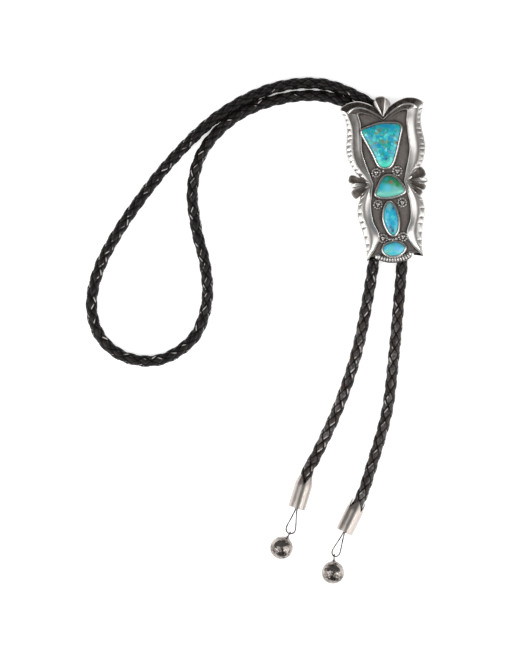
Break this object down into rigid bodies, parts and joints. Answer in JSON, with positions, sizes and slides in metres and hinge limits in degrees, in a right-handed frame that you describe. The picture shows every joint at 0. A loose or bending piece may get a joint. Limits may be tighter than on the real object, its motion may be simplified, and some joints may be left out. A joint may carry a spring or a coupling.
{
  "type": "bolo tie",
  "caption": "Round braided leather cord through a tall stamped silver slide set with blue-green stones, silver tips and hanging balls on its ends, laid flat.",
  "frame": {"origin": "on the surface the tie rests on, under the middle of the slide", "axes": "+X across the slide to the viewer's right, +Y up along the slide, +Z out of its face"},
  "size_m": [0.1911, 0.2736, 0.0155],
  "materials": {
    "silver_slide": "stamped silver, high parts polished, hollows blackened with age",
    "silver_clip": "plain nickel silver, lightly brushed",
    "silver_polished": "polished silver",
    "stone_blue": "polished turquoise, bright blue with tan and green matrix",
    "stone_green": "polished turquoise, green above and pale aqua below",
    "stone_sky": "polished turquoise, sky blue",
    "cord_leather": "black braided leather with a slight gloss"
  },
  "bodies": {
    "root": {"slide_plate": "silver_slide", "back_clip": "silver_clip", "stone_shield": "stone_blue", "stone_dome": "stone_green", "stone_tall_oval": "stone_sky", "stone_wide_oval": "stone_sky", "cord": "cord_leather", "tip_left": "silver_polished", "tip_right": "silver_polished", "wire_loop_left": "silver_polished", "wire_loop_right": "silver_polished", "ball_left": "silver_polished", "ball_right": "silver_polished"}
  },
  "joints": []
}
